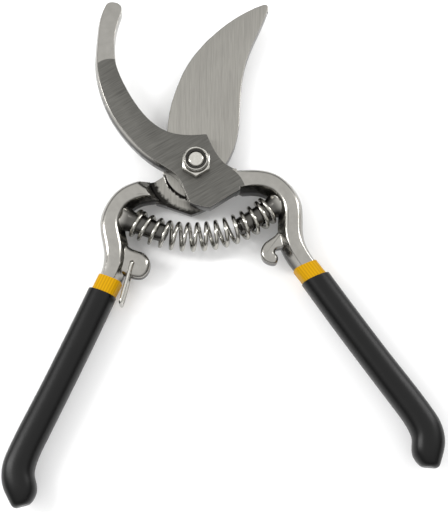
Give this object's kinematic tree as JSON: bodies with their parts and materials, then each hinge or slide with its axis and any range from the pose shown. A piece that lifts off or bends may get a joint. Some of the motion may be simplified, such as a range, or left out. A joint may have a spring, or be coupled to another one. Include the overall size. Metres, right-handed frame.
{
  "type": "pruning shears",
  "caption": "Bypass pruning shears with a hooked jaw and a curved blade, a coil spring on pegs between sprung-open handles, dipped grips and a wire latch.",
  "frame": {"origin": "on the pivot axis, at the centre of the outer face of the bolt head, which is the back of the tool", "axes": "+Z along the pivot from the bolt head to the lock nut, +Y from the pivot towards the open jaws, halfway between the two handles' directions at rest, +X to the hook arm's handle"},
  "size_m": [0.1574, 0.1857, 0.021],
  "materials": {
    "hook_steel": "forged, jaw and hub face ground and darkened",
    "blade_steel": "forged, blade face fine ground",
    "bolt_steel": "bright plated",
    "nut_steel": "bright plated",
    "ring_nylon": "dark nylon",
    "spring_steel": "bright plated wire",
    "bail_steel": "bright plated wire",
    "band_plastic": "satin vinyl",
    "grip_plastic": "satin dipped vinyl"
  },
  "bodies": {
    "hook_side": {"hook_arm": "hook_steel", "pivot_bolt": "bolt_steel", "lock_nut": "nut_steel", "lock_nut_ring": "ring_nylon", "coil_spring": "spring_steel", "right_band": "band_plastic", "right_grip": "grip_plastic"},
    "blade_side": {"blade_arm": "blade_steel", "left_band": "band_plastic", "left_grip": "grip_plastic"},
    "latch": {"latch_bail": "bail_steel"}
  },
  "joints": [
    {"name": "pivot", "type": "hinge", "parent": "hook_side", "child": "blade_side", "pos_m": [0, 0, 0.0085], "axis": [0, 0, 1], "range_deg": [0, 54.6], "stiffness_Nm_per_rad": 2, "deforming": ["coil_spring"]},
    {"name": "latch_hinge", "type": "hinge", "parent": "blade_side", "child": "latch", "pos_m": [-0.02658, -0.03443, 0.009], "axis": [0, 0, 1], "range_deg": [-4, 81.2]}
  ]
}
